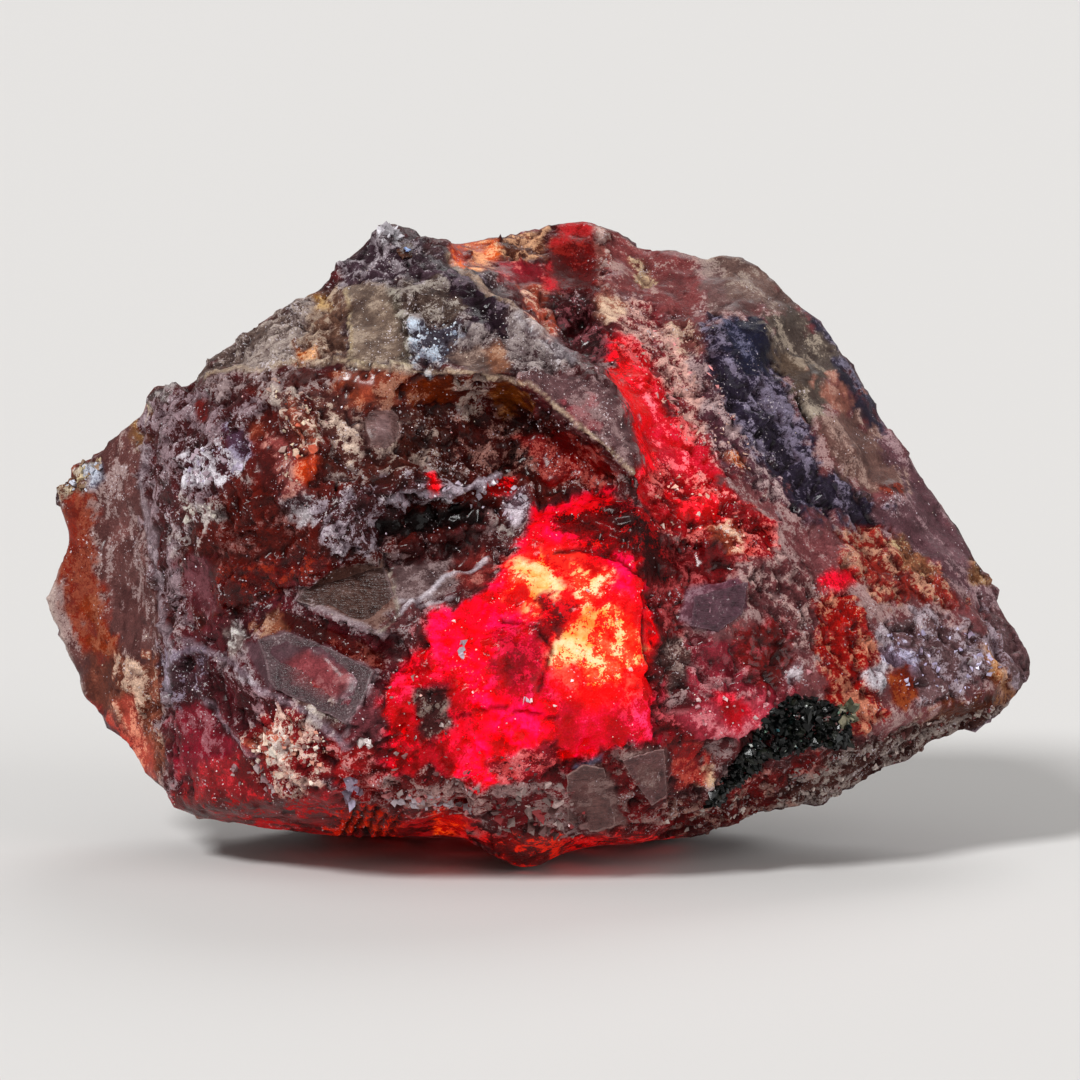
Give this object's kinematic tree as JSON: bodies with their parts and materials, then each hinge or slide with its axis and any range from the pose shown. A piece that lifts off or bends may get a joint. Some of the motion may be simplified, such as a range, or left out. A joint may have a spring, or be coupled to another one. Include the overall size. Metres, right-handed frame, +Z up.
{
  "type": "sphalerite crystal",
  "caption": "Rough ruby-red sphalerite lump with broken cleavage faces, ledges, frosted crust and a dark druse, resting on a flat underside.",
  "frame": {"origin": "centre of the lump's box at the level of the surface that it rests on", "axes": "+X along the lump's length, towards its pointed end; +Z up; the face shown in the picture looks along -Y"},
  "size_m": [0.0498, 0.0299, 0.0311],
  "materials": {
    "sphalerite": "broken resinous cleavage, half gloss on the plates and dull on the crust"
  },
  "bodies": {
    "root": {"sphalerite": "sphalerite"}
  },
  "joints": []
}
